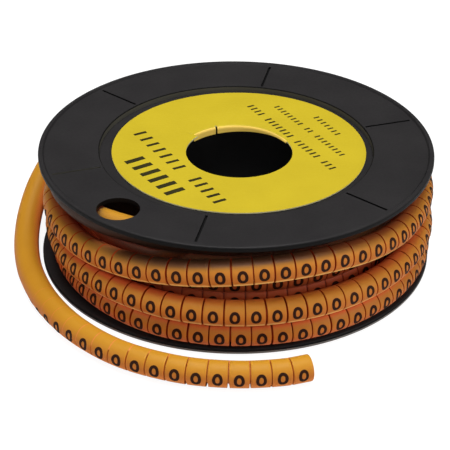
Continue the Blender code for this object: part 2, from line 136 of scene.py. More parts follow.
# Spool
FLANGE_RADIUS = 0.0400
FLANGE_WALL = 0.0009
DRUM_WIDTH = 0.0213
LIP_WIDTH = 0.0012
LIP_HEIGHT = 0.0003
RECESS_RADIUS = 0.0277
RECESS_DEPTH = 0.0012
BORE_RADIUS = 0.0119
HUB_WALL = 0.0013
SPOOL_ROUND = 0.00035
RECESS_ROUND = 0.0002
ROUND_STEPS = 4
HUB_FILLET = 0.0008
SPOOL_STEPS = 168
GROOVE_COUNT = 6
GROOVE_ANGLE = -11.0
GROOVE_WIDTH = 0.00052
GROOVE_DEPTH = 0.0004
GROOVE_SHALLOW = 0.00004
# The groove that gets a painted highlight in place of painted shade: its turn angle and half its
# span in degrees
LIT_GROOVE_ANGLE = -71.0
LIT_GROOVE_SPAN = 5.0
# Height of the painted reflection of the floor along the bottom flange's rim
REFLECTION_BAND = 0.00050
GROOVE_MARGIN = 0.0006
HOLE_STEPS = 72
HOLE_RADIUS = 0.0042
HOLE_PITCH_RADIUS = 0.0340
HOLE_ANGLE = -41.0
WINDING_CLEARANCE = 0.0003
RIM_THICKNESS = FLANGE_WALL + LIP_HEIGHT
SPOOL_HEIGHT = DRUM_WIDTH + 2 * RIM_THICKNESS
HUB_RADIUS = BORE_RADIUS + HUB_WALL
DISH_RADIUS = RECESS_RADIUS + FLANGE_WALL
RECESS_FLOOR = SPOOL_HEIGHT - LIP_HEIGHT - RECESS_DEPTH
# Material numbers on the spool after the black one: painted shade in the grooves, painted light on
# the recess wall and one groove, and a painted floor reflection on the bottom rim
GROOVE_SHADE_LOOK, PAINTED_LIGHT_LOOK, REFLECTION_LOOK = 1, 2, 3

# Label
LABEL_RADIUS = 0.0258
LABEL_SHIFT_X = 0.00055
LABEL_SHIFT_Y = 0.0005
LABEL_WALL = 0.00025
LABEL_GAP = 0.00012
LABEL_HOLE_RADIUS = 0.0108
LABEL_HOLE_SHIFT_X = 0.00063
LABEL_HOLE_SHIFT_Y = -0.00066
LABEL_STEP = 3.0
FOLD_RADIUS = 0.0111
FLAP_BEND = 0.0004
FLAP_BEND_STEPS = 5
# Paper round the bore: turn angles of both ends, and whether pushed down
FLAPS = ((-127.0, 112.0, False), (112.0, 202.0, True), (202.0, 233.0, True))
# Half the slit at the end of each, in degrees
SLITS = (0.15, 1.1, 0.15)
# Cells of the paper from its outer edge: how many a slit leaves, and how many lie flat
SLIT_CELLS = 2
FLAT_CELLS = 4
PRINT_LIFT = 0.00002
# Rows of plain strokes on the label, in millimetres: first and last stroke,
# how many places, which of them stay empty, stroke width and height
PRINT_ROWS = (
    ((-11.9, -17.2), (-20.3, -4.7), 6, (), 1.30, 4.3),
    ((-3.1, -20.8), (-8.0, -12.4), 5, (), 0.80, 2.8),
    ((-11.3, -7.5), (-19.8, 6.9), 7, (), 0.80, 2.8),
    ((19.2, -7.2), (3.0, 19.9), 23, (3, 10, 18), 0.50, 1.6),
    ((21.4, -1.5), (8.6, 19.7), 20, (8, 11), 0.45, 1.3),
    ((20.9, 7.5), (16.8, 14.9), 7, (), 0.45, 1.3),
)

# Free tail
TAIL_START = (884.0, 0.03710, 0.01820)
TAIL_GAP = 0.0003
TAIL_SPACING = 0.001
TAIL_ROUTE = (
    (180, 0.0385, 0.0183), (195, 0.0397, 0.0181), (208, 0.041, 0.0174), (220, 0.0421, 0.0159),
    (232, 0.0427, 0.0137), (244, 0.04295, 0.011), (255, 0.043, 0.0083), (265, 0.04305, 0.0058),
    (274, 0.0432, 0.0039), (283, 0.04345, 0.00285), (293, 0.044, 0.00262),
    (306, 0.0452, 0.00262), (320, 0.04695, 0.00262), (334, 0.0487, 0.00262),
    (348, 0.0497, 0.00262), (360, 0.0501, 0.00262), (370, 0.0501, 0.00262),
    (376.4, 0.0497, 0.00262),
)
ROUTE_SAMPLES = 24
# Middles of the tail's sleeves: sleeve number from the end, distance from the end
TAIL_MARKS = (
    (0, 0.00209), (1, 0.00571), (4, 0.01713), (7, 0.02852), (10, 0.03984), (14, 0.05564),
)
# Up to this distance along the tail its cuts are closed and can't be seen
TAIL_SMOOTH = 0.104
TAIL_SMOOTH_FADE = 0.030
# Width of its cuts as shares of a full one: the first, what they gain, and what varies
TAIL_CUT_SHARES = (0.35, 0.35, 0.20)
# Where its cuts end at the top: the lowest angle, and where they start to reach higher
TAIL_CUT_TOP = -12.0
TAIL_TOP_START = 0.114
TAIL_TOP_FADE = 0.034
# Gaps that open below its cuts, by place from the end
TAIL_GAPS = {3.5: 0.00020, 4.5: 0.00032, 5.5: 0.00020}
# Its print faces down at first and then turns to the front
TAIL_ROLL = 4.0
TAIL_ROLL_TURN = 66.0
TAIL_ROLL_START = 0.094
TAIL_ROLL_FADE = 0.026
# Its open end: depth and share of the radius of each ring, and every so many points a rib
END_RINGS = ((0.0, 0.60), (0.0002, 0.56), (0.006, 0.56))
END_RIB_STEP = 4
END_RIB = 0.90

# Cuts between the sleeves
CUT_WIDTH = 0.00030
CUT_DEPTH = 0.00080
CUT_SPREAD = (0.75, 1.25)
CUT_LOW = -150.0
CUT_HIGH = 112.0
CUT_TAPER = 14.0
EDGE_ROUND = 0.00006
# How low on the strand a gap starts, over what height it opens, and its share inside
GAP_START = 0.12
GAP_SPAN = 0.74
GAP_INSIDE = 0.8

# Digits
DIGIT_HEIGHT = 0.00262
DIGIT_WIDTH = 0.00190
DIGIT_STROKE = 0.00056
# How many strokes the zero's hole is lower and narrower than the zero
DIGIT_HOLE = (2.2, 2.0)
DIGIT_LIFT = 0.00004
DIGIT_SINK = 0.00006
DIGIT_STEPS = 22
DIGIT_POWER = 2.1
# Nearer the start of the tail than this there is no print
DIGIT_MARGIN = 0.003
# How far the print is turned at random, in degrees either way
DIGIT_TURN = 1.5
LAYER_DIGIT_TURN = 2.0

# Edges sharper than these angles stay sharp on strands and on turned or folded pieces
STRAND_SHARP = 40.0
PIECE_SHARP = 32.0

# Surfaces: noise mixes two colours in patches and gives a fine grain
NOISE_RANGE = (0.3, 0.7)
NOISE_DETAIL = 3.0
NOISE_ROUGHNESS = 0.5
PATCH_SCALE = 120.0
GRAIN_SCALE = 1500.0
BUMP_STRENGTH = 0.35
BUMP_DISTANCE = 0.00001
# Sockets of the colour mix node: factor and both colours, and its result
MIX_SOCKETS = (0, 6, 7)
MIX_RESULT = 2

# Colours of the soft plastic with painted light and shade: painted shade on the sides, painted
# bounce light underneath, painted shade in enclosed places and painted shadow next to the flange
PVC_PAINTED_SIDE_SHADE = (0.57, 0.165, 0.020)
PVC_PAINTED_BOUNCE_UNDER = (0.98, 0.60, 0.18)
PVC_PAINTED_SHADE_DEEP = (0.70, 0.140, 0.042)
PVC_PAINTED_SHADE_DEEP_LAYER = (0.44, 0.075, 0.022)
PVC_PAINTED_SHADE_DEEP_TAIL = (0.90, 0.270, 0.060)
PVC_PAINTED_SHADE_DEEPEST = (0.50, 0.060, 0.015)
PVC_PAINTED_SHADOW = (0.045, 0.020, 0.012)
PVC_PAINTED_SHADOW_TOP = (0.085, 0.032, 0.014)
# Upward part of a face's direction, from the painted side shade to the top and from the side to
# the painted bounce underneath
PVC_TURN = (-0.2, 1.05)
PVC_PAINTED_BOUNCE_UNDER_TURN = (-0.42, -0.70)
# For the painted shade in enclosed places: how far round a place is looked at, and how open it is,
# from enclosed to open
PVC_DEPTH_REACH = 0.0060
PVC_DEPTH_SAMPLES = 8
PVC_DEPTH = (0.35, 0.88)
PVC_DEPTH_TAIL = (0.15, 0.72)
# Painted shadow where the flange keeps the light off, for the outer and the inner turns: heights,
# upward part of a face's direction, which is any for the inner turns, and colour
OUTER_SHADE = ((0.0145, 0.0185), (0.30, 1.00), PVC_PAINTED_SHADOW_TOP)
INNER_SHADE = ((0.0171, 0.0180), (-1.2, -1.1), PVC_PAINTED_SHADOW)
# Distance from the axis over which that painted shadow ends, and over which it ends to the right
SHADE_REACH = (0.0400, 0.0413)
SHADE_RIGHT = (0.042, 0.008)
# Light through the flange's hole, where the painted shadow is left off: how soft its edge is, and
# what faces up enough to get it
HOLE_LIGHT_EDGE = 0.0015
HOLE_LIGHT_FACES = (0.45, 0.60)

# Soft plastic, in copies that differ in painted shade: two colours, whether it is outside, its
# painted shade colour for enclosed places and how open it is
SOFT_SURFACES = {
    "tail": ((0.490, 0.222, 0.013), (0.530, 0.246, 0.015), True, PVC_PAINTED_SHADE_DEEP_TAIL, PVC_DEPTH_TAIL),
    "outer": ((0.470, 0.190, 0.018), (0.510, 0.212, 0.021), True, PVC_PAINTED_SHADE_DEEP, PVC_DEPTH),
    "layer": ((0.470, 0.190, 0.018), (0.510, 0.212, 0.021), False, PVC_PAINTED_SHADE_DEEP_LAYER, PVC_DEPTH),
    "inner": ((0.490, 0.222, 0.015), (0.530, 0.246, 0.018), False, PVC_PAINTED_SHADOW, PVC_DEPTH),
}
SOFT_ROUGHNESS = (0.44, 0.56)
SOFT_SPECULAR = 0.18
# Other surfaces: name, two colours and roughness
SURFACES = {
    # Inside the cuts between sleeves: painted shade, dark on the winding and less dark on the tail
    "cut": ("cut_painted_shade", (0.36, 0.035, 0.005), (0.44, 0.045, 0.006), (0.5, 0.7)),
    "tail_cut": ("tail_cut_painted_shade", (0.62, 0.17, 0.024), (0.68, 0.20, 0.028), (0.5, 0.7)),
    "ink": ("print_ink", (0.022, 0.006, 0.002), (0.03, 0.009, 0.003), (0.55, 0.7)),
    "print": ("label_print", (0.022, 0.019, 0.005), (0.03, 0.026, 0.007), (0.5, 0.65)),
    # Black plastic: these colours are for its tops; its sides get a darker painted shade
    "black": ("black_plastic", (0.0185, 0.0172, 0.0178), (0.023, 0.0215, 0.022), (0.42, 0.54)),
    "paper": ("yellow_paper", (0.485, 0.365, 0.008), (0.52, 0.395, 0.010), (0.5, 0.65)),
    "paper_edge": ("paper_edge", (0.70, 0.64, 0.36), (0.76, 0.70, 0.42), (0.7, 0.8)),
    # Painted light: the paper pushed into the bore, coloured lighter than the label for light it
    # doesn't get
    "paper_fold_painted_light": ("paper_fold_painted_light", (0.88, 0.59, 0.09), (0.92, 0.63, 0.11), (0.6, 0.75)),
    # Painted shade inside the grooves and along the top of the recess wall
    "groove": ("groove_painted_shade", (0.0025, 0.0025, 0.0025), (0.004, 0.004, 0.004), (0.6, 0.8)),
    # Painted light: the recess wall in a lighter grey for light bounced from the label, also the
    # highlighted groove
    "wall": ("recess_wall_painted_light", (0.065, 0.062, 0.050), (0.075, 0.071, 0.058), (0.5, 0.6)),
    # Painted reflection of the white floor on the bottom flange's lower rim
    "edge": ("painted_reflection_edge", (0.17, 0.158, 0.145), (0.21, 0.195, 0.18), (0.4, 0.55)),
}
DULL_SURFACES = ("ink", "cut", "print", "black", "groove", "wall")
DULL_SPECULAR = 0.12
PAPER_SPECULAR = 0.3
# Painted shade on the black plastic: its colour on faces that look sideways, and from which
# direction on
BLACK_PAINTED_SIDE_SHADE = (0.0030, 0.0028, 0.0030)
BLACK_TURN = (0.2, 0.9)

# Signs of the corners of a rectangle
CORNERS = ((-1, -1), (1, -1), (1, 1), (-1, 1))

# Ground and light: soft round lights with place, width and power
FLOOR_HALF = 2.5
FLOOR_COLOUR = (0.62, 0.62, 0.62, 1.0)
FLOOR_SEEN_COLOUR = (0.18, 0.18, 0.18, 1.0)
FLOOR_SEEN_GLOW = 0.92
WORLD_STRENGTH = 0.05
LIGHT_AIM = Vector((0.0, 0.0, 0.01))
LIGHTS = {
    "top_light": ((0.0, 0.02, 0.90), 0.70, 9.1),
    "front_light": ((0.0, -0.80, 0.42), 0.50, 1.35),
    "right_light": ((0.75, -0.30, 0.40), 0.50, 2.9),
    "left_light": ((-0.75, -0.30, 0.40), 0.50, 1.5),
}


def around(turn_angle, radius, height):
    """Return the point at a turn angle, radius and height."""
    angle = math.radians(turn_angle)
    return Vector((radius * math.sin(angle), -radius * math.cos(angle), height))


def set_camera():
    """Place the camera where the photograph was taken from."""
    reach = CAMERA_DISTANCE * math.cos(CAMERA_ELEVATION)
    place = around(0.0, reach, CAMERA_DISTANCE * math.sin(CAMERA_ELEVATION))
    pitch = CAMERA_PITCH - CAMERA_ELEVATION
    aside, ahead = math.sin(CAMERA_YAW), math.cos(CAMERA_YAW)
    forward = Vector((aside * math.cos(pitch), ahead * math.cos(pitch), math.sin(pitch)))
    right = forward.cross(Vector((0.0, 0.0, 1.0))).normalized()
    up = right.cross(forward)
    across = math.cos(CAMERA_ROLL) * right + math.sin(CAMERA_ROLL) * up
    above = math.cos(CAMERA_ROLL) * up - math.sin(CAMERA_ROLL) * right
    data = bpy.data.cameras.new("camera")
    data.lens = LENS
    data.sensor_width = SENSOR
    data.clip_start = CAMERA_NEAR
    camera = add_object("camera", data)
    turn = Matrix((across, above, -forward)).transposed().to_4x4()
    camera.matrix_world = Matrix.Translation(place) @ turn
    bpy.context.scene.camera = camera


def add_object(name, data, *materials):
    """Link a mesh, camera or light into the scene as an object."""
    item = bpy.data.objects.new(name, data)
    bpy.context.scene.collection.objects.link(item)
    for material in materials:
        data.materials.append(material)
    return item


def mix(tree, factor, first, second, blend="MIX"):
    """Add a colour mix node and return its output."""
    node = tree.nodes.new("ShaderNodeMix")
    node.data_type = "RGBA"
    node.blend_type = blend
    for index, value in zip(MIX_SOCKETS, (factor, first, second)):
        socket = node.inputs[index]
        if isinstance(value, bpy.types.NodeSocket):
            tree.links.new(value, socket)
        elif isinstance(value, float):
            socket.default_value = value
        else:
            socket.default_value = (*value, 1.0)
    return node.outputs[MIX_RESULT]


def add_node(tree, kind, inputs=()):
    """Add a shader node with its inputs linked to sockets or set to values."""
    node = tree.nodes.new(kind)
    for key, value in dict(inputs).items():
        if isinstance(value, bpy.types.NodeSocket):
            tree.links.new(value, node.inputs[key])
        else:
            node.inputs[key].default_value = value
    return node


def noise(tree, scale):
    """Add a noise texture on object coordinates and return its value."""
    inputs = {
        "Vector": add_node(tree, "ShaderNodeTexCoord").outputs["Object"],
        "Scale": scale,
        "Detail": NOISE_DETAIL,
        "Roughness": NOISE_ROUGHNESS,
    }
    return add_node(tree, "ShaderNodeTexNoise", inputs).outputs[0]


def map_range(tree, value, low, high, start=0.0, end=1.0, interpolation="LINEAR"):
    """Map a value between two limits to another range and return the output."""
    inputs = {"Value": value, "From Min": low, "From Max": high, "To Min": start, "To Max": end}
    node = add_node(tree, "ShaderNodeMapRange", inputs)
    node.interpolation_type = interpolation
    return node.outputs["Result"]


def spread(tree, value, low, high):
    """Map a noise value to a range and return the output."""
    return map_range(tree, value, *NOISE_RANGE, low, high)


def make_material(name, colour, other, rough):
    """A surface with colour variation, uneven roughness and a fine bump."""
    material = bpy.data.materials.new(name)
    material.use_nodes = True
    tree = material.node_tree
    shader = shader_of(material)
    patches = spread(tree, noise(tree, PATCH_SCALE), 0.0, 1.0)
    tree.links.new(mix(tree, patches, colour, other), shader.inputs["Base Color"])
    fine = noise(tree, GRAIN_SCALE)
    tree.links.new(spread(tree, fine, *rough), shader.inputs["Roughness"])
    inputs = {"Strength": BUMP_STRENGTH, "Distance": BUMP_DISTANCE, "Height": fine}
    relief = add_node(tree, "ShaderNodeBump", inputs)
    tree.links.new(relief.outputs["Normal"], shader.inputs["Normal"])
    return material


def shader_of(material):
    """Return a material's main shader."""
    return material.node_tree.nodes["Principled BSDF"]


def set_specular(material, level):
    """Set how strongly a material mirrors."""
    shader_of(material).inputs["Specular IOR Level"].default_value = level


def separated(tree, vector):
    """Add a node that takes a vector apart and return its outputs."""
    return add_node(tree, "ShaderNodeSeparateXYZ", {0: vector}).outputs


def paint_side_shade(material, colour):
    """Paint shade on faces that don't look upwards, in this darker colour, so the tops read
    lighter.
    """
    tree = material.node_tree
    base = shader_of(material).inputs["Base Color"]
    top = base.links[0].from_socket
    coordinates = add_node(tree, "ShaderNodeTexCoord")
    facing = separated(tree, coordinates.outputs["Normal"])["Z"]
    rise = map_range(tree, facing, *BLACK_TURN)
    tree.links.new(mix(tree, rise, colour, top), base)


def paint_light_shade_pvc(material, is_outer, deep, depth):
    """Painted light and shade: golden on top, painted redder shade down the sides, a painted pale
    bounce underneath and painted deep red shade where it is enclosed.

    The soft plastic lets light through, and what has come a long way in it is red; the painted
    red shade stands in for that light. Next to the black flange there is none of it, so a painted
    dark shadow lies there.
    """
    tree = material.node_tree
    base = shader_of(material).inputs["Base Color"]
    top = base.links[0].from_socket
    coordinates = add_node(tree, "ShaderNodeTexCoord")
    facing = separated(tree, coordinates.outputs["Normal"])["Z"]
    place = separated(tree, coordinates.outputs["Object"])
    # Painted shade: enclosed places, found by ambient occlusion, turn deep red, deepest where
    # least open
    enclosed = add_node(tree, "ShaderNodeAmbientOcclusion", {"Distance": PVC_DEPTH_REACH})
    enclosed.samples = PVC_DEPTH_SAMPLES
    half_open = ranged(tree, enclosed.outputs["AO"], 0.0, depth[0])
    deep = mix(tree, half_open, PVC_PAINTED_SHADE_DEEPEST, deep)
    # Painted shade down the sides and a painted pale bounce underneath, by which way a face looks
    colour = mix(tree, ranged(tree, facing, *PVC_TURN), PVC_PAINTED_SIDE_SHADE, top)
    colour = mix(tree, ranged(tree, facing, *PVC_PAINTED_BOUNCE_UNDER_TURN), colour, PVC_PAINTED_BOUNCE_UNDER)
    colour = mix(tree, ranged(tree, enclosed.outputs["AO"], *depth), deep, colour)

    # Painted shadow of the flange: near black on the turns under it, fading out past its rim
    heights, faces, dark = OUTER_SHADE if is_outer else INNER_SHADE
    near_flange = ranged(tree, place["Z"], *heights)
    near_flange = mix(tree, 1.0, near_flange, ranged(tree, facing, *faces), "MULTIPLY")
    reach = distance_from(tree, coordinates, Vector((0.0, 0.0, 0.0)))
    shaded = mix(tree, ranged(tree, reach, *SHADE_REACH), dark, colour)
    if is_outer:
        left = ranged(tree, place["X"], *SHADE_RIGHT)
        near_flange = mix(tree, 1.0, near_flange, left, "MULTIPLY")
    else:
        hole = around(HOLE_ANGLE, HOLE_PITCH_RADIUS, 0.0)
        reach = distance_from(tree, coordinates, hole)
        in_shade = ranged(tree, reach, HOLE_RADIUS, HOLE_RADIUS + HOLE_LIGHT_EDGE)
        faces_up = ranged(tree, facing, *HOLE_LIGHT_FACES)
        in_shade = mix(tree, faces_up, (1.0, 1.0, 1.0), in_shade)
        shaded = mix(tree, in_shade, colour, shaded)
    tree.links.new(mix(tree, near_flange, colour, shaded), base)


def distance_from(tree, coordinates, place):
    """Add nodes for the horizontal distance from an upright axis and return the output."""
    inputs = {0: coordinates.outputs["Object"], 1: (1.0, 1.0, 0.0)}
    flat = add_node(tree, "ShaderNodeVectorMath", inputs)
    flat.operation = "MULTIPLY"
    apart = add_node(tree, "ShaderNodeVectorMath", {0: flat.outputs[0], 1: place})
    apart.operation = "DISTANCE"
    return apart.outputs["Value"]


def ranged(tree, value, low, high):
    """Map a value between two limits smoothly to 0 to 1 and return the output."""
    return map_range(tree, value, low, high, interpolation="SMOOTHSTEP")


def floor_material():
    """White ground: it lights the reel as plain paper and the camera sees it white."""
    material = bpy.data.materials.new("floor")
    material.use_nodes = True
    tree = material.node_tree
    tree.nodes.clear()
    plain = add_node(tree, "ShaderNodeBsdfDiffuse", {"Color": FLOOR_COLOUR})
    seen = add_node(tree, "ShaderNodeBsdfDiffuse", {"Color": FLOOR_SEEN_COLOUR})
    white = add_node(tree, "ShaderNodeEmission", {"Strength": FLOOR_SEEN_GLOW})
    inputs = {0: seen.outputs[0], 1: white.outputs[0]}
    both = add_node(tree, "ShaderNodeAddShader", inputs)
    path = add_node(tree, "ShaderNodeLightPath")
    inputs = {0: path.outputs["Is Camera Ray"], 1: plain.outputs[0], 2: both.outputs[0]}
    pick = add_node(tree, "ShaderNodeMixShader", inputs)
    add_node(tree, "ShaderNodeOutputMaterial", {"Surface": pick.outputs[0]})
    return material


def make_materials():
    """All the materials of the reel."""
    looks = {}
    for name, (first, second, *shades) in SOFT_SURFACES.items():
        looks[name] = make_material(f"orange_pvc_painted_shade_{name}", first, second, SOFT_ROUGHNESS)
        paint_light_shade_pvc(looks[name], *shades)
        set_specular(looks[name], SOFT_SPECULAR)
    for name, surface in SURFACES.items():
        looks[name] = make_material(*surface)
    for name in DULL_SURFACES:
        set_specular(looks[name], DULL_SPECULAR)
    set_specular(looks["paper"], PAPER_SPECULAR)
    paint_side_shade(looks["black"], BLACK_PAINTED_SIDE_SHADE)
    looks["floor"] = floor_material()
    return looks


def follow(route, angle):
    """Read a route's radius, height and size at a turn angle, smoothly between its rows."""
    last = len(route) - 1
    index = 0
    while index < last - 1 and angle > route[index + 1][0]:
        index += 1
    start, end = route[index], route[index + 1]
    before, after = route[max(index - 1, 0)], route[min(index + 2, last)]
    span = end[0] - start[0]
    share = (angle - start[0]) / span
    values = []
    for column in range(1, len(start)):
        leave = (end[column] - before[column]) / (end[0] - before[0]) * span
        arrive = (after[column] - start[column]) / (after[0] - start[0]) * span
        rise = end[column] - start[column]
        values.append(
            start[column]
            + leave * share
            + (3 * rise - 2 * leave - arrive) * share**2
            + (leave + arrive - 2 * rise) * share**3
        )
    return values


def smooth_route(points, spacing):
    """Points at an even spacing along a Catmull-Rom curve through the route."""
    ends = [2 * points[0] - points[1]] + points + [2 * points[-1] - points[-2]]
    dense = []
    for index in range(len(points) - 1):
        before, start, end, after = ends[index : index + 4]
        for step in range(ROUTE_SAMPLES):
            share = step / ROUTE_SAMPLES
            bend = 2 * start + (end - before) * share
            bend += (2 * before - 5 * start + 4 * end - after) * share**2
            bend += (3 * start - before - 3 * end + after) * share**3
            dense.append(bend / 2)
    dense.append(points[-1])
    length = sum((b - a).length for a, b in zip(dense, dense[1:]))
    count = round(length / spacing)
    pitch = length / count
    even = [dense[0]]
    travelled = 0.0
    for a, b in zip(dense, dense[1:]):
        step = (b - a).length
        while len(even) < count and travelled + step >= len(even) * pitch:
            even.append(a.lerp(b, (len(even) * pitch - travelled) / step))
        travelled += step
    even.append(dense[-1])
    return even


class Line:
    """A strand's centre line, with its outward and upward directions."""

    def __init__(self, points, sizes):
        self.points = np.array([tuple(point) for point in points])
        self.sizes = np.array(sizes, dtype=float)
        steps = np.linalg.norm(np.diff(self.points, axis=0), axis=1)
        self.arc = np.concatenate([[0.0], np.cumsum(steps)])
        self.length = self.arc[-1]
        along = np.gradient(self.points, self.arc, axis=0)
        self.along = along / np.linalg.norm(along, axis=1)[:, None]
        outward = self.points.copy()
        outward[:, 2] = 0.0
        outward -= (outward * self.along).sum(1)[:, None] * self.along
        self.outward = outward / np.linalg.norm(outward, axis=1)[:, None]

    def at(self, arc):
        """Centre, size and directions at a distance along the line."""
        arc = min(max(arc, 0.0), self.length)
        centre, along, outward = (
            np.array([np.interp(arc, self.arc, values[:, k]) for k in range(3)])
            for values in (self.points, self.along, self.outward)
        )
        along /= np.linalg.norm(along)
        outward -= outward.dot(along) * along
        outward /= np.linalg.norm(outward)
        upward = np.cross(outward, along)
        return centre, np.interp(arc, self.arc, self.sizes), along, outward, upward


def smooth_step(value):
    """Ease a value from 0 to 1."""
    value = min(max(value, 0.0), 1.0)
    return value * value * (3 - 2 * value)


def cut_cover(angle, top):
    """How far the cut between two sleeves reaches round the strand at this angle."""
    angle = (angle + 180.0) % 360.0 - 180.0
    rise = smooth_step((angle - CUT_LOW) / CUT_TAPER)
    fall = smooth_step((top - angle) / CUT_TAPER)
    return rise * fall


def plain_stations(start, end):
    """Cross sections between two cuts."""
    count = max(2, round((end - start) / STATION_SPACING))
    return [(start + (end - start) * (step + 0.5) / count, PLAIN, None) for step in range(count)]


def strand_stations(length, cuts):
    """Cross sections of a strand, each (distance, kind, cut), the kind negative behind a cut."""
    stations = [(0.0, PLAIN, None)]
    previous = 0.0
    for cut in cuts:
        distance, width = cut[:2]
        start, end = distance - width / 2, distance + width / 2
        stations += plain_stations(previous, distance)
        stations += [
            (start - 2 * EDGE_ROUND, PLAIN, None),
            (start, EDGE, cut),
            (start + EDGE_ROUND / 2, BOTTOM, cut),
            (end - EDGE_ROUND / 2, -BOTTOM, cut),
            (end, -EDGE, cut),
            (end + 2 * EDGE_ROUND, PLAIN, None),
        ]
        previous = distance
    stations += plain_stations(previous, length)
    stations += [(length - 2 * EDGE_ROUND, PLAIN, None), (length, END, None)]
    return stations


def bridge(here, there, count):
    """Faces between two rings of vertices that start at these numbers."""
    return [
        (here + side, here + (side + 1) % count, there + (side + 1) % count, there + side)
        for side in range(count)
    ]


def towards(angle, outward, upward):
    """Direction from a strand's centre at an angle upwards from straight out."""
    return math.cos(angle) * outward + math.sin(angle) * upward


def strand_mesh(name, line, radius, cuts, roll, hollow=False):
    """A tube along a line, cut across between its sleeves.

    Each cut is (distance, width, top angle, opening at the bottom).
    """
    stations = strand_stations(line.length, cuts)
    vertices = []
    for distance, kind, cut in stations:
        centre, size, along, outward, upward = line.at(distance)
        turned = roll(distance)
        for side in range(SIDES):
            angle = 360.0 * side / SIDES
            reach = radius * size
            slide = 0.0
            if cut is not None:
                cover = cut_cover(angle - turned, cut[2])
                reach -= (EDGE_ROUND if abs(kind) == EDGE else CUT_DEPTH) * cover
                low = (-math.sin(math.radians(angle)) - GAP_START) / GAP_SPAN
                slide = (-1 if kind > 0 else 1) * cut[3] * min(max(low, 0.0), 1.0)
                if abs(kind) == BOTTOM:
                    slide *= GAP_INSIDE
            elif kind == END:
                reach -= EDGE_ROUND
            direction = towards(math.radians(angle), outward, upward)
            vertices.append(centre + reach * direction + slide * along)
    faces = []
    looks = []
    for ring, (here, there) in enumerate(zip(stations, stations[1:])):
        faces += bridge(ring * SIDES, (ring + 1) * SIDES, SIDES)
        # Faces inside a cut take the second material, the painted shade of the slit
        in_cut = here[2] is not None and there[2] is not None
        looks += [int(in_cut)] * SIDES
    first = len(vertices)
    vertices.append(line.at(0.0)[0])
    faces += [(first, (side + 1) % SIDES, side) for side in range(SIDES)]
    ring = (len(stations) - 1) * SIDES
    depth = 0.0
    for depth, share in END_RINGS if hollow else ():
        centre, _, _, outward, upward = line.at(line.length - depth)
        start = len(vertices)
        for side in range(SIDES):
            rib = 1.0 if side % END_RIB_STEP else END_RIB
            direction = towards(math.tau * side / SIDES, outward, upward)
            vertices.append(centre + radius * share * rib * direction)
        faces += bridge(ring, start, SIDES)
        ring = start
    end = len(vertices)
    vertices.append(line.at(line.length - depth)[0])
    faces += [(end, ring + side, ring + (side + 1) % SIDES) for side in range(SIDES)]
    looks += [0] * (len(faces) - len(looks))
    mesh = mesh_of(name, vertices, faces)
    mesh.polygons.foreach_set("material_index", looks)
    smooth(mesh, STRAND_SHARP)
    return mesh


def digit_outline(height, width, step):
    """A point of a rounded oval: distance along the strand and up its surface."""
    angle = math.tau * step / DIGIT_STEPS
    across, upwards = (
        math.copysign(abs(value) ** (2 / DIGIT_POWER), value)
        for value in (math.cos(angle), math.sin(angle))
    )
    return across * width / 2, upwards * height / 2


def add_digits(name, places, look):
    """Plain zeros printed on strands, each (line, radius, distance, roll)."""
    vertices = []
    faces = []
    lower, narrower = DIGIT_HOLE
    hole = (DIGIT_HEIGHT - lower * DIGIT_STROKE, DIGIT_WIDTH - narrower * DIGIT_STROKE)
    loops = (
        (-DIGIT_SINK, DIGIT_HEIGHT, DIGIT_WIDTH),
        (DIGIT_LIFT, DIGIT_HEIGHT, DIGIT_WIDTH),
        (DIGIT_LIFT, *hole),
        (-DIGIT_SINK, *hole),
    )
    for line, radius, distance, turned in places:
        first = len(vertices)
        for lift, height, width in loops:
            for step in range(DIGIT_STEPS):
                shift, upwards = digit_outline(height, width, step)
                centre, size, _, outward, upward = line.at(distance + shift)
                reach = radius * size
                direction = towards(math.radians(turned) + upwards / reach, outward, upward)
                vertices.append(centre + (reach + lift) * direction)
        for loop in range(len(loops)):
            there = first + (loop + 1) % len(loops) * DIGIT_STEPS
            faces += bridge(first + loop * DIGIT_STEPS, there, DIGIT_STEPS)
    return add_object(name, mesh_of(name, vertices, faces), look)


def build_tail(looks):
    """The free end of the strip, a cord that leaves the winding at the back left."""
    route = [around(*point) for point in (TAIL_START, *TAIL_ROUTE)]
    points = smooth_route(route, TAIL_SPACING)
    points[0] += (points[1] - points[0]).normalized() * TAIL_GAP
    line = Line(points, [1.0] * len(points))
    numbers, distances = zip(*TAIL_MARKS)
    count = int(line.length / SLEEVE_PITCH)

    def middle(number):
        if number > numbers[-1]:
            return line.length - distances[-1] - (number - numbers[-1]) * SLEEVE_PITCH
        return line.length - float(np.interp(number, numbers, distances))

    def roll(distance):
        back = 1 - smooth_step((distance - TAIL_ROLL_START) / TAIL_ROLL_FADE)
        return TAIL_ROLL - TAIL_ROLL_TURN * back

    dice = random.Random(TAIL_SEED)
    least, more, varied = TAIL_CUT_SHARES
    cuts = []
    for number in range(count, 0, -1):
        distance = (middle(number) + middle(number - 1)) / 2
        if distance < TAIL_SMOOTH:
            continue
        loose = smooth_step((distance - TAIL_SMOOTH) / TAIL_SMOOTH_FADE)
        width = CUT_WIDTH * (least + (more + varied * dice.random()) * loose)
        higher = smooth_step((distance - TAIL_TOP_START) / TAIL_TOP_FADE)
        top = TAIL_CUT_TOP + (CUT_HIGH - TAIL_CUT_TOP) * higher
        cuts.append((distance, width, top, TAIL_GAPS.get(number - 0.5, 0.0)))
    mesh = strand_mesh("tail_strip", line, SLEEVE_RADIUS, cuts, roll, hollow=True)
    strip = add_object("tail_strip", mesh, looks["tail"], looks["tail_cut"])
    places = []
    for number in range(count + 1):
        distance = middle(number)
        if distance > DIGIT_MARGIN:
            turned = roll(distance) + dice.uniform(-DIGIT_TURN, DIGIT_TURN)
            places.append((line, SLEEVE_RADIUS, distance, turned))
    digits = add_digits("tail_digits", places, looks["ink"])
    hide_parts("marker_tail")
    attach(strip, "root")
    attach(digits, "root")


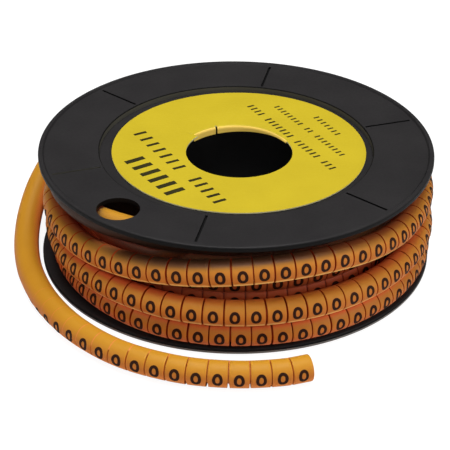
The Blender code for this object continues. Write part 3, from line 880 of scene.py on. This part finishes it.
def line_of(route):
    """A centre line along a route of turn angles, with a point at each degree."""
    start, end = route[0][0], route[-1][0]
    count = round(end - start)
    angles = [start + (end - start) * index / count for index in range(count + 1)]
    rows = [follow(route, angle) for angle in angles]
    points = [around(angle, row[0], row[1]) for angle, row in zip(angles, rows)]
    return Line(points, [row[2] for row in rows]), angles


def build_outer(looks):
    """The loose outer layer, three turns of sleeves."""
    line, angles = line_of(OUTER_ROUTE)
    numbers, turns = zip(*OUTER_MARKS)
    roll_turns, rolls = zip(*OUTER_ROLL)

    def middle(number):
        turn = float(np.interp(number, numbers, turns))
        return float(np.interp(turn, angles, line.arc)), turn

    def roll(distance):
        return float(np.interp(np.interp(distance, line.arc, angles), roll_turns, rolls))

    dice = random.Random(OUTER_SEED)
    cuts = []
    places = []
    for number in range(numbers[0], numbers[-1]):
        here, _ = middle(number)
        there, turn = middle(number + 1)
        width = CUT_WIDTH * dice.uniform(*CUT_SPREAD)
        top = LOW_CUT_TOP if LOW_CUT_TURNS[0] < turn < LOW_CUT_TURNS[1] else CUT_HIGH
        cuts.append(((here + there) / 2, width, top, 0.0))
        turned = roll(here) + dice.uniform(-DIGIT_TURN, DIGIT_TURN)
        places.append((line, STRAND_RADIUS, here, turned))
    mesh = strand_mesh("outer_turns", line, STRAND_RADIUS, cuts, roll)
    strand = add_object("outer_turns", mesh, looks["outer"], looks["cut"])
    digits = add_digits("outer_digits", places[1:], looks["ink"])
    return [strand, digits]


def sunk(turn_angle, height):
    """Height of the inner turns with the hollow under the flange's hole."""
    apart = abs((turn_angle - HOLLOW_ANGLE + 180.0) % 360.0 - 180.0)
    share = smooth_step(2.0 - 2.0 * apart / HOLLOW_HALF)
    return height - HOLLOW_SHARE * share * max(height - HOLLOW_BOTTOM, 0.0)


def is_plain(row, turn):
    """Whether a place on a row lies under the flange's hole, where it has no cuts or print."""
    return row == 0 and PLAIN_TURNS[0] < turn < PLAIN_TURNS[1]


def build_layer(looks):
    """The turns of the layer below and the one that stands out at the left."""
    made = []
    dice = random.Random(LAYER_SEED)
    places = []
    steps = math.ceil(LAYER_SPAN / LAYER_STEP)
    for index, (radius, height) in enumerate(LAYER_ROWS):
        name = f"layer_row_{index + 1}"
        start = -math.degrees(LAYER_HALF * SLEEVE_PITCH / radius)
        angles = [start + LAYER_STEP * step for step in range(steps)] + [start + LAYER_SPAN]
        points = [around(angle, radius, 2 * sunk(angle, height) - height) for angle in angles]
        line = Line(points, [LAYER_SIZE] * len(points))
        sleeve_turn = 360.0 * SLEEVE_PITCH / line.length
        count = int(line.length / SLEEVE_PITCH)
        turned = LAYER_ROLL[index]
        cuts = [
            ((number + 0.5) * SLEEVE_PITCH, CUT_WIDTH, CUT_HIGH, 0.0)
            for number in range(count)
            if not is_plain(index, start + (number + 0.5) * sleeve_turn)
        ]
        mesh = strand_mesh(name, line, SLEEVE_RADIUS, cuts, lambda distance: turned)
        # The top row takes the inner turns' material, with its near-black painted shade
        soft = looks["layer" if index else "inner"]
        made.append(add_object(name, mesh, soft, looks["cut"]))
        for number in range(1, count):
            if not is_plain(index, start + number * sleeve_turn):
                roll = turned + dice.uniform(-LAYER_DIGIT_TURN, LAYER_DIGIT_TURN)
                places.append((line, SLEEVE_RADIUS, number * SLEEVE_PITCH, roll))
    line, _ = line_of(BULGE_ROUTE)
    mesh = strand_mesh("bulging_turn", line, STRAND_RADIUS, [], lambda distance: 0.0)
    made.append(add_object("bulging_turn", mesh, looks["inner"], looks["cut"]))
    made.append(add_digits("layer_digits", places, looks["ink"]))
    return made


def mesh_of(name, vertices, faces):
    """A closed mesh with its faces turned outwards."""
    mesh = bpy.data.meshes.new(name)
    mesh.from_pydata([tuple(vertex) for vertex in vertices], [], faces)
    shaped = bmesh.new()
    shaped.from_mesh(mesh)
    bmesh.ops.recalc_face_normals(shaped, faces=shaped.faces)
    shaped.to_mesh(mesh)
    shaped.free()
    return mesh


def smooth(mesh, sharp):
    """Shade a mesh smoothly, apart from edges sharper than an angle."""
    mesh.shade_smooth()
    mesh.set_sharp_from_angle(angle=math.radians(sharp))


def keep_result(item):
    """Give an object the mesh that its modifiers make, and drop them."""
    graph = bpy.context.evaluated_depsgraph_get()
    mesh = bpy.data.meshes.new_from_object(item.evaluated_get(graph))
    item.modifiers.clear()
    item.data = mesh


def revolved(name, outline, steps):
    """A ring with this closed outline of (radius, height) points."""
    size = len(outline)
    vertices = []
    faces = []
    for step in range(steps):
        for radius, height in outline:
            vertices.append(around(360.0 * step / steps, radius, height))
        here, there = step * size, (step + 1) % steps * size
        for index in range(size):
            after = (index + 1) % size
            faces.append((here + index, there + index, there + after, here + after))
    return mesh_of(name, vertices, faces)


def build_core(looks):
    """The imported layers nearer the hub, filled between the turns of the layer below."""
    side = RIM_THICKNESS + WINDING_CLEARANCE
    dish_side = SPOOL_HEIGHT - RECESS_FLOOR + FLANGE_WALL + WINDING_CLEARANCE
    inner = HUB_RADIUS + WINDING_CLEARANCE
    dish = DISH_RADIUS + WINDING_CLEARANCE
    outline = [
        (inner, SPOOL_HEIGHT - dish_side - HUB_FILLET),
        (inner + HUB_FILLET, SPOOL_HEIGHT - dish_side),
        (dish, SPOOL_HEIGHT - dish_side),
        (dish, SPOOL_HEIGHT - side),
    ]
    for radius, height in LAYER_ROWS:
        for turned in CORE_ARC:
            angle = math.radians(turned)
            reach = SLEEVE_RADIUS - CORE_DIP * math.cos(angle)
            outline.append((radius + reach * math.cos(angle), height + reach * math.sin(angle)))
    outline += [
        (dish, side),
        (dish, dish_side),
        (inner + HUB_FILLET, dish_side),
        (inner, dish_side + HUB_FILLET),
    ]
    mesh = revolved("inner_layers", outline, CORE_STEPS)
    for vertex in mesh.vertices:
        reach = math.hypot(vertex.co.x, vertex.co.y)
        if reach > dish - EDGE_ROUND:
            turn = math.degrees(math.atan2(vertex.co.x, -vertex.co.y))
            vertex.co.z = sunk(turn, vertex.co.z)
    smooth(mesh, STRAND_SHARP)
    return add_object("inner_layers", mesh, looks["inner"])


def build_winding(looks):
    """All the wound turns."""
    made = build_outer(looks) + build_layer(looks) + [build_core(looks)]
    for piece in made:
        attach(piece, "root")
        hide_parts("marker_winding")


def rounded_outline(corners, steps):
    """Round the corners of a closed outline given as (radius, height, fillet)."""
    points = []
    count = len(corners)
    for index, (radius, height, fillet) in enumerate(corners):
        here = Vector((radius, height))
        if fillet == 0.0:
            points.append(here)
            continue
        before = (Vector(corners[index - 1][:2]) - here).normalized()
        after = (Vector(corners[(index + 1) % count][:2]) - here).normalized()
        half = before.angle(after) / 2
        centre = here + (before + after).normalized() * fillet / math.sin(half)
        first = here + before * fillet / math.tan(half) - centre
        last = here + after * fillet / math.tan(half) - centre
        turned = first.angle_signed(last)
        for step in range(steps + 1):
            turn = Matrix.Rotation(-turned * step / steps, 2)
            points.append(centre + turn @ first)
    return points


def cut_away(item, mesh):
    """Cut a mesh out of an object and keep the result as its mesh."""
    cutter = add_object("cutter", mesh)
    modifier = item.modifiers.new("cut", "BOOLEAN")
    modifier.operation = "DIFFERENCE"
    modifier.solver = "EXACT"
    modifier.object = cutter
    bpy.context.view_layer.update()
    keep_result(item)
    bpy.data.objects.remove(cutter, do_unlink=True)


def build_spool(looks):
    """The moulded spool, the CAD's form turned in finer steps."""
    top = SPOOL_HEIGHT
    lip_inner = FLANGE_RADIUS - LIP_WIDTH
    upper = [
        (BORE_RADIUS, RECESS_FLOOR, SPOOL_ROUND),
        (RECESS_RADIUS, RECESS_FLOOR, 0.0),
        (RECESS_RADIUS, top - LIP_HEIGHT, RECESS_ROUND),
        (lip_inner, top - LIP_HEIGHT, 0.0),
        (lip_inner + LIP_HEIGHT, top, 0.0),
        (FLANGE_RADIUS, top, SPOOL_ROUND),
        # Splits the rim's side, so that the painted reflection covers only the lower part on the
        # bottom flange
        (FLANGE_RADIUS, top - RIM_THICKNESS / 2, 0.0),
        (FLANGE_RADIUS, top - RIM_THICKNESS, SPOOL_ROUND),
        (DISH_RADIUS, top - RIM_THICKNESS, 0.0),
        (DISH_RADIUS, RECESS_FLOOR - FLANGE_WALL, 0.0),
        (HUB_RADIUS, RECESS_FLOOR - FLANGE_WALL, HUB_FILLET),
    ]
    lower = [(radius, top - height, fillet) for radius, height, fillet in reversed(upper)]
    mesh = revolved("spool_body", rounded_outline(upper + lower, ROUND_STEPS), SPOOL_STEPS)
    spool = add_object("spool_body", mesh, looks["black"])
    shaped = bmesh.new()
    inner = RECESS_RADIUS + GROOVE_MARGIN
    outer = lip_inner - GROOVE_MARGIN
    for face in (LIP_HEIGHT, top - LIP_HEIGHT):
        for index in range(GROOVE_COUNT):
            angle = GROOVE_ANGLE + index * 360.0 / GROOVE_COUNT
            place = Matrix.Translation(around(angle, (inner + outer) / 2, face))
            place = place @ Matrix.Rotation(math.radians(angle), 4, "Z")
            place = place @ Matrix.Diagonal((GROOVE_WIDTH, outer - inner, 2 * GROOVE_DEPTH, 1.0))
            bmesh.ops.create_cube(shaped, size=1.0, matrix=place)
    bmesh.ops.create_cone(
        shaped,
        cap_ends=True,
        segments=HOLE_STEPS,
        radius1=HOLE_RADIUS,
        radius2=HOLE_RADIUS,
        depth=4 * RIM_THICKNESS,
        matrix=Matrix.Translation(around(HOLE_ANGLE, HOLE_PITCH_RADIUS, top)),
    )
    cutter = bpy.data.meshes.new("cutter")
    shaped.to_mesh(cutter)
    shaped.free()
    cut_away(spool, cutter)
    for name in ("groove", "wall", "edge"):
        spool.data.materials.append(looks[name])
    for face in spool.data.polygons:
        reach = math.hypot(face.center.x, face.center.y)
        below = min(face.center.z, top - face.center.z) - LIP_HEIGHT
        is_deep = GROOVE_SHALLOW < below < GROOVE_DEPTH + GROOVE_SHALLOW
        # Grooves get painted shade, and the one groove at the lit angle a painted highlight
        if is_deep and inner - GROOVE_SHALLOW < reach < outer:
            turn = math.degrees(math.atan2(face.center.x, -face.center.y))
            is_lit_groove = abs(turn - LIT_GROOVE_ANGLE) < LIT_GROOVE_SPAN
            face.material_index = PAINTED_LIGHT_LOOK if is_lit_groove else GROOVE_SHADE_LOOK
        # The recess wall gets painted light, with a near-black line along its top rounding
        elif abs(reach - RECESS_RADIUS) < RECESS_ROUND and 0.0 < below < RECESS_DEPTH:
            face.material_index = PAINTED_LIGHT_LOOK if below > RECESS_ROUND else GROOVE_SHADE_LOOK
        # A painted reflection of the floor along the bottom flange's lower rim
        elif reach > FLANGE_RADIUS - SPOOL_ROUND and face.center.z < REFLECTION_BAND:
            face.material_index = REFLECTION_LOOK
    smooth(spool.data, PIECE_SHARP)
    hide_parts("spool")
    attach(spool, "root")


def hole_reach(angle):
    """Distance from the spool's axis to the edge of the label's off-centre hole."""
    towards = around(angle, 1.0, 0.0)
    shift = Vector((LABEL_HOLE_SHIFT_X, LABEL_HOLE_SHIFT_Y, 0.0))
    along = shift.dot(towards)
    return along + math.sqrt(LABEL_HOLE_RADIUS**2 - shift.length_squared + along**2)


def label_section(angle, folded):
    """Points of the paper along one radius, from its outer edge to its inner edge."""
    paper = RECESS_FLOOR + LABEL_GAP
    shift = Vector((LABEL_SHIFT_X, LABEL_SHIFT_Y, 0.0))
    fold_start = FOLD_RADIUS + FLAP_BEND if folded else BORE_RADIUS + FLAP_BEND
    overhang = fold_start - hole_reach(angle)
    section = [around(angle, LABEL_RADIUS, paper) + shift]
    section.append(around(angle, (LABEL_RADIUS + fold_start) / 2, paper) + shift / 2)
    section.append(around(angle, fold_start, paper))
    for step in range(1, FLAP_BEND_STEPS + 1):
        if folded:
            bend = step / FLAP_BEND_STEPS * min(math.pi / 2, overhang / FLAP_BEND)
            radius = fold_start - FLAP_BEND * math.sin(bend)
            height = paper - FLAP_BEND * (1 - math.cos(bend))
        else:
            radius = fold_start - overhang * step / (FLAP_BEND_STEPS + 1)
            height = paper
        section.append(around(angle, radius, height))
    if folded:
        drop = max(overhang - FLAP_BEND * math.pi / 2, LABEL_WALL / 5)
        section.append(section[-1] - Vector((0.0, 0.0, drop)))
    else:
        section.append(around(angle, fold_start - overhang, paper))
    return section


def build_label(looks):
    """The paper ring, its inner edge slit and pushed down into the bore at the back."""
    rows = []
    for index, (start, end, folded) in enumerate(FLAPS):
        count = round((end - start) / LABEL_STEP)
        near, far = SLITS[index - 1], SLITS[index]
        for step in range(count + 1):
            angle = start + near + (end - start - near - far) * step / count
            rows.append((label_section(angle, folded), step == count, folded))
    size = len(rows[0][0])
    vertices = [point for section, _, _ in rows for point in section]
    faces = []
    sides = []
    for index, (_, is_slit, folded) in enumerate(rows):
        here, there = index * size, (index + 1) % len(rows) * size
        for cell in range(SLIT_CELLS if is_slit else size - 1):
            faces.append((here + cell, there + cell, there + cell + 1, here + cell + 1))
            # Paper pushed down into the bore takes the fold material, with its painted light
            sides.append(2 if folded and cell >= FLAT_CELLS else 0)
    mesh = bpy.data.meshes.new("label_paper")
    mesh.from_pydata([tuple(vertex) for vertex in vertices], [], faces)
    mesh.polygons.foreach_set("material_index", sides)
    papers = (looks["paper"], looks["paper_edge"], looks["paper_fold_painted_light"])
    label = add_object("label_paper", mesh, *papers)
    solid = label.modifiers.new("paper", "SOLIDIFY")
    solid.thickness = LABEL_WALL
    solid.offset = 1.0
    solid.material_offset_rim = 1
    keep_result(label)
    smooth(label.data, PIECE_SHARP)
    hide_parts("label")
    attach(label, "root")
    strokes = add_object("label_strokes", stroke_mesh("label_strokes"), looks["print"])
    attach(strokes, "root")


def stroke_mesh(name):
    """Rows of plain strokes printed on the label."""
    vertices = []
    faces = []
    low = RECESS_FLOOR + LABEL_GAP + LABEL_WALL / 2
    high = RECESS_FLOOR + LABEL_GAP + LABEL_WALL + PRINT_LIFT
    for first_place, last_place, count, empty, width, height in PRINT_ROWS:
        start = Vector((*first_place, 0.0)) / 1000
        end = Vector((*last_place, 0.0)) / 1000
        along = (end - start).normalized()
        side = Vector((-along.y, along.x, 0.0))
        for index in range(count):
            if index in empty:
                continue
            centre = start.lerp(end, index / (count - 1))
            first = len(vertices)
            for level in (low, high):
                for across, upwards in CORNERS:
                    point = centre + across * width / 2000 * along + upwards * height / 2000 * side
                    vertices.append((point.x, point.y, level))
            faces.append(tuple(first + corner for corner in (3, 2, 1, 0)))
            faces.append(tuple(first + corner for corner in (4, 5, 6, 7)))
            faces += bridge(first, first + 4, 4)
    return mesh_of(name, vertices, faces)


def set_light(looks):
    """A white floor, soft lights round the reel and an even surround."""
    mesh = bpy.data.meshes.new("floor")
    corners = [(x * FLOOR_HALF, y * FLOOR_HALF, 0.0) for x, y in CORNERS]
    mesh.from_pydata(corners, [], [(0, 1, 2, 3)])
    floor = add_object("floor", mesh, looks["floor"])
    world = bpy.data.worlds.new("surround")
    bpy.context.scene.world = world
    world.use_nodes = True
    background = world.node_tree.nodes["Background"]
    background.inputs["Color"].default_value = (1.0, 1.0, 1.0, 1.0)
    background.inputs["Strength"].default_value = WORLD_STRENGTH
    for name, (place, size, power) in LIGHTS.items():
        data = bpy.data.lights.new(name, "AREA")
        data.shape = "DISK"
        data.size = size
        data.energy = power
        light = add_object(name, data)
        light.location = place
        aim = LIGHT_AIM - Vector(place)
        light.rotation_euler = aim.to_track_quat("-Z", "Y").to_euler()
    bpy.context.scene.view_settings.view_transform = "Standard"


set_camera()
looks = make_materials()
build_tail(looks)
build_winding(looks)
build_spool(looks)
build_label(looks)
set_light(looks)
